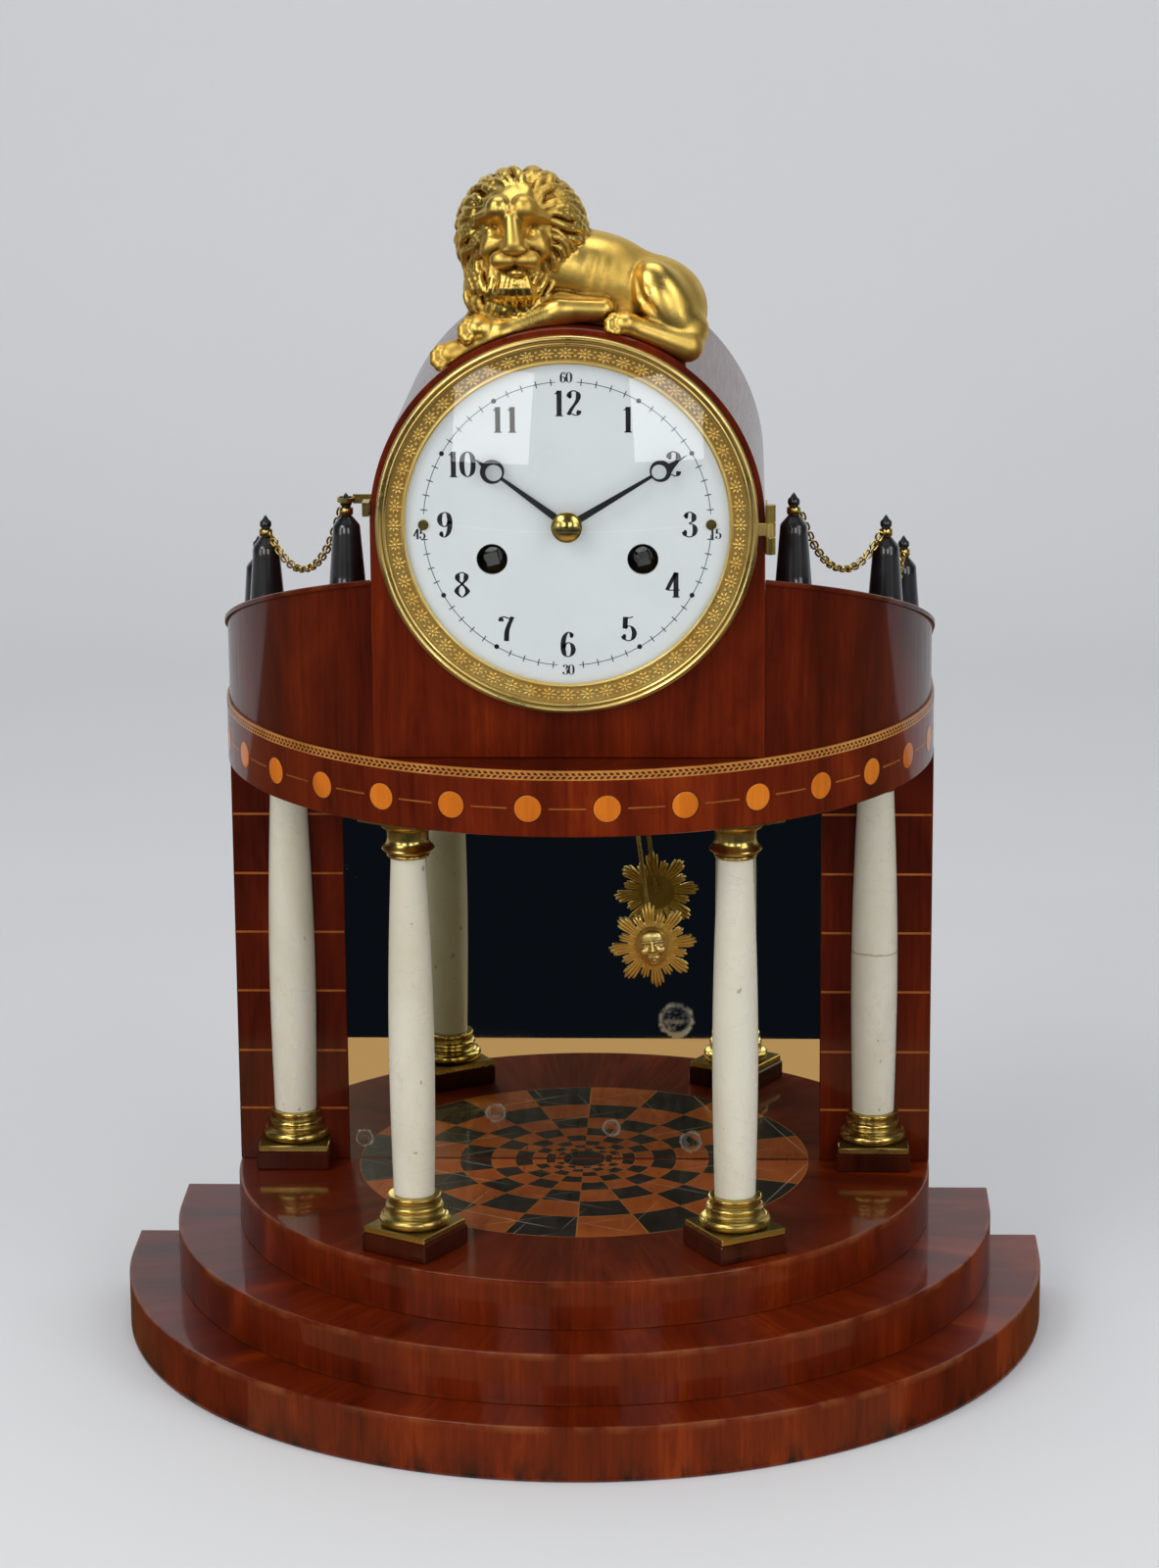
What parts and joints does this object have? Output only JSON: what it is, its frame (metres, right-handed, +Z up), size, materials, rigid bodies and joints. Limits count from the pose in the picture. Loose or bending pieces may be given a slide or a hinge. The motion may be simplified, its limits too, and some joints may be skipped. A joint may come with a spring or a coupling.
{
  "type": "portico mantel clock",
  "caption": "Half-round portico mantel clock with stepped wooden base, alabaster columns, mirror back, drum attic with obelisks and chains, gilt lion, hinged bezel and sun pendulum.",
  "frame": {"origin": "centre of the bounding box on the ground, under the middle of the base", "axes": "+Z up; the dial faces -Y; the flat back faces +Y; +X is the right side seen from the front"},
  "size_m": [0.326, 0.183, 0.4185],
  "materials": {
    "mahogany": "French polished, glossy",
    "mahogany_dark": "French polished, glossy",
    "back_wood": "oiled, unpolished",
    "alabaster": "polished, faint veins",
    "brass": "polished, aged",
    "gilt": "bright gilding, worn",
    "movement_brass": "grained",
    "steel": "brushed",
    "ebonised": "ebonised, glossy",
    "boxwood": "polished inlay",
    "stringing": "chevron inlay",
    "tile_light": "polished inlay, scratched",
    "tile_dark": "polished inlay, scratched",
    "mirror": "old silvering, foxed",
    "glass": "clear, domed",
    "enamel": "white enamel, black figures",
    "hand_black": "black"
  },
  "bodies": {
    "case": {"bottom_step": "mahogany", "middle_step": "mahogany", "top_step": "mahogany", "floor_light_tiles": "tile_light", "floor_dark_tiles": "tile_dark", "pilasters": "mahogany_dark", "mirror_plate": "mirror", "back_panel": "back_wood", "column_plinths": "mahogany_dark", "column_bases": "brass", "front_shafts": "alabaster", "side_shafts": "alabaster", "column_capitals": "brass", "ceiling_board": "mahogany_dark", "frieze_band": "mahogany", "frieze_dots": "boxwood", "chevron_stringing": "stringing", "ledge_board": "mahogany_dark", "attic_wall": "mahogany_dark", "attic_roof": "mahogany_dark", "attic_back_boards": "back_wood", "case_front_board": "mahogany", "case_shell": "mahogany", "case_back_board": "back_wood", "obelisks": "ebonised", "obelisk_necks": "brass", "chain_swags": "brass", "chain_hook": "brass", "lion": "gilt", "bezel_hinge_leaf": "brass", "bezel_catch": "brass", "dial_plate": "enamel", "dial_screws": "brass", "movement_ring": "movement_brass", "front_plate": "movement_brass", "back_plate": "movement_brass", "plate_pillars": "movement_brass", "suspension_cock": "movement_brass", "bell": "movement_brass", "bell_stand": "steel"},
    "bezel": {"bezel_ring": "brass", "bezel_band": "gilt", "bezel_glass": "glass"},
    "minute_work": {"centre_arbor": "steel", "minute_hand": "hand_black", "hand_cap": "brass"},
    "hour_work": {"hour_wheel": "movement_brass", "hour_hand": "hand_black"},
    "motion_wheel": {"minute_wheel": "movement_brass"},
    "going_drum": {"going_barrel": "movement_brass"},
    "going_winder": {"going_arbor": "steel"},
    "strike_drum": {"strike_barrel": "movement_brass"},
    "strike_winder": {"strike_arbor": "steel"},
    "third_work": {"third_wheel": "movement_brass"},
    "escape_work": {"escape_wheel": "movement_brass"},
    "anchor_work": {"anchor": "steel"},
    "pendulum": {"pendulum_rod": "brass", "sun_bob": "gilt"},
    "bell_hammer": {"hammer": "steel"},
    "door": {"back_door": "back_wood"}
  },
  "joints": [
    {"name": "minute_turn", "type": "hinge", "parent": "case", "child": "minute_work", "pos_m": [0, -0.0335, 0.305], "axis": [0, 1, 0], "continuous": true},
    {"name": "hour_turn", "type": "hinge", "parent": "case", "child": "hour_work", "pos_m": [0, -0.0335, 0.305], "axis": [0, 1, 0], "continuous": true},
    {"name": "motion_turn", "type": "hinge", "parent": "case", "child": "motion_wheel", "pos_m": [-0.00849, -0.0235, 0.29651], "axis": [0, 1, 0], "continuous": true},
    {"name": "going_drum_turn", "type": "hinge", "parent": "case", "child": "going_drum", "pos_m": [0.02425, 0, 0.2937], "axis": [0, 1, 0], "continuous": true},
    {"name": "third_turn", "type": "hinge", "parent": "case", "child": "third_work", "pos_m": [-0.009, 0, 0.32059], "axis": [0, 1, 0], "continuous": true},
    {"name": "escape_turn", "type": "hinge", "parent": "case", "child": "escape_work", "pos_m": [0, 0, 0.33406], "axis": [0, 1, 0], "continuous": true},
    {"name": "going_winding", "type": "hinge", "parent": "case", "child": "going_winder", "pos_m": [0.02425, -0.0335, 0.2937], "axis": [0, 1, 0], "continuous": true},
    {"name": "strike_winding", "type": "hinge", "parent": "case", "child": "strike_winder", "pos_m": [-0.02425, -0.0335, 0.2937], "axis": [0, 1, 0], "continuous": true},
    {"name": "strike_drum_turn", "type": "hinge", "parent": "case", "child": "strike_drum", "pos_m": [-0.02425, 0, 0.2937], "axis": [0, 1, 0], "continuous": true},
    {"name": "pendulum_swing", "type": "hinge", "parent": "case", "child": "pendulum", "pos_m": [0, 0.0395, 0.343], "axis": [0, 1, 0], "range_deg": [0, 14.6]},
    {"name": "anchor_swing", "type": "hinge", "parent": "case", "child": "anchor_work", "pos_m": [0, 0.0195, 0.343], "axis": [0, 1, 0], "range_deg": [0, 14.6]},
    {"name": "bezel_swing", "type": "hinge", "parent": "case", "child": "bezel", "pos_m": [0.0652, -0.03629, 0.304], "axis": [0, 0, 1], "range_deg": [0, 110]},
    {"name": "hammer_lift", "type": "hinge", "parent": "case", "child": "bell_hammer", "pos_m": [0.022, 0.0575, 0.283], "axis": [0, 1, 0], "range_deg": [0, 20]},
    {"name": "door_swing", "type": "hinge", "parent": "case", "child": "door", "pos_m": [-0.048, 0.0898, 0.305], "axis": [0, 0, 1], "range_deg": [0, 100]}
  ],
  "couplings": [
    {"joint": "hour_turn", "follows": "minute_turn", "ratio": 0.083333},
    {"joint": "motion_turn", "follows": "minute_turn", "ratio": -0.33333},
    {"joint": "going_drum_turn", "follows": "minute_turn", "ratio": -0.16667},
    {"joint": "third_turn", "follows": "minute_turn", "ratio": -5},
    {"joint": "escape_turn", "follows": "minute_turn", "ratio": 25},
    {"joint": "anchor_swing", "follows": "pendulum_swing", "ratio": 1}
  ]
}
